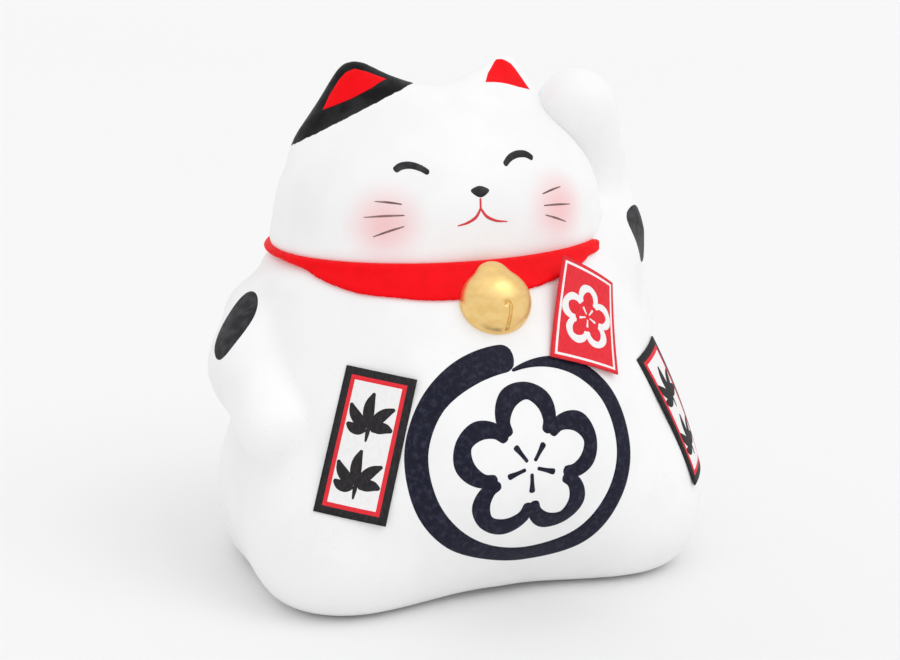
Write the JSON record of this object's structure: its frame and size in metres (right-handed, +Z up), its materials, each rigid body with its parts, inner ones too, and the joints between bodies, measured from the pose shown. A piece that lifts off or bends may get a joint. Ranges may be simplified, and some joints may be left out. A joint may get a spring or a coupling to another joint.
{
  "type": "beckoning cat figurine",
  "caption": "Hollow painted earthenware cat sitting upright with one paw raised, used as an ornament and coin bank, with a coin slot in its back and a pull-out rubber plug in its base.",
  "frame": {"origin": "bottom centre of the figure's bounding box, on the surface that it stands on", "axes": "+Z up; the cat faces -Y; its raised arm is on the +X side"},
  "size_m": [0.1416, 0.1243, 0.144],
  "materials": {
    "white_glaze": "matt white painted earthenware",
    "ear_paint": "matt white earthenware with black and red paint",
    "collar_red": "satin red paint on clay",
    "bell_gold": "metallic gold paint on clay",
    "label_paper": "printed paper",
    "plug_rubber": "matt moulded rubber"
  },
  "bodies": {
    "figure": {"torso": "white_glaze", "head": "white_glaze", "left_ear": "ear_paint", "right_ear": "ear_paint", "raised_arm": "white_glaze", "resting_arm": "white_glaze", "left_foot": "white_glaze", "right_foot": "white_glaze", "tail": "white_glaze", "collar": "collar_red", "bell": "bell_gold", "flank_label_right": "label_paper", "chest_label": "label_paper", "flank_label_left": "label_paper"},
    "plug": {"base_plug": "plug_rubber"}
  },
  "joints": [
    {"name": "plug_pull", "type": "slide", "parent": "figure", "child": "plug", "axis": [0, 0, -1], "range_m": [0, 0.012]}
  ]
}
